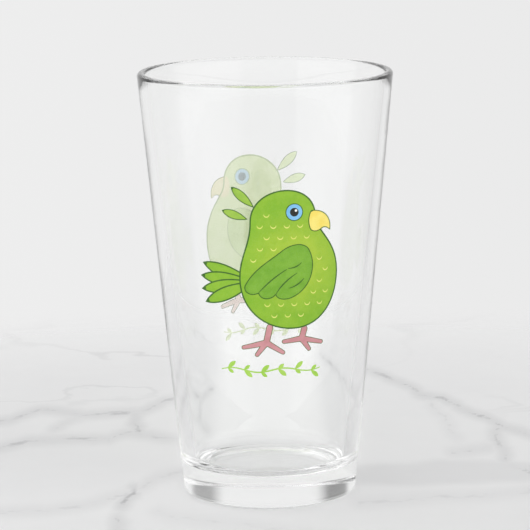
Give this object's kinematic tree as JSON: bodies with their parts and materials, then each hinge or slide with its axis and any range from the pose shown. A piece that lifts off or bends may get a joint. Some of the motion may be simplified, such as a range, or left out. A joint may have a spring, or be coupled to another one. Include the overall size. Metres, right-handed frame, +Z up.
{
  "type": "printed pint glass",
  "caption": "Clear tapered pint glass with a thick base and rounded lip, printed front and back with a small green bird over a leafy sprig.",
  "frame": {"origin": "centre of the foot ring, on the surface the glass stands on", "axes": "+Z up along the axis of the glass, -Y towards the front print, +X to the right of someone who looks at the front print"},
  "size_m": [0.0888, 0.0888, 0.1492],
  "materials": {
    "clear_glass": "clear, fire-polished",
    "white_ink": "white printing ink, satin",
    "green_ink": "grass-green printing ink, satin",
    "light_green_ink": "light green printing ink, satin",
    "mid_green_ink": "mid green printing ink, satin",
    "dark_green_ink": "dark green printing ink, satin",
    "blue_ink": "light blue printing ink, satin",
    "black_ink": "black printing ink, satin",
    "yellow_ink": "pale yellow printing ink, satin",
    "pink_ink": "pink printing ink, satin"
  },
  "bodies": {
    "root": {"glass_body": "clear_glass", "front_white_underbase": "white_ink", "front_plumage": "green_ink", "front_outline": "dark_green_ink", "front_wing": "mid_green_ink", "front_eye_ring": "blue_ink", "front_eye_pupil": "black_ink", "front_beak": "yellow_ink", "front_sprig": "light_green_ink", "front_crest_feather_upper": "light_green_ink", "front_crest_feather_lower": "light_green_ink", "front_foot_left": "pink_ink", "front_foot_right": "pink_ink", "back_white_underbase": "white_ink", "back_plumage": "green_ink", "back_outline": "dark_green_ink", "back_wing": "mid_green_ink", "back_eye_ring": "blue_ink", "back_eye_pupil": "black_ink", "back_beak": "yellow_ink", "back_sprig": "light_green_ink", "back_crest_feather_upper": "light_green_ink", "back_crest_feather_lower": "light_green_ink", "back_foot_left": "pink_ink", "back_foot_right": "pink_ink"}
  },
  "joints": []
}
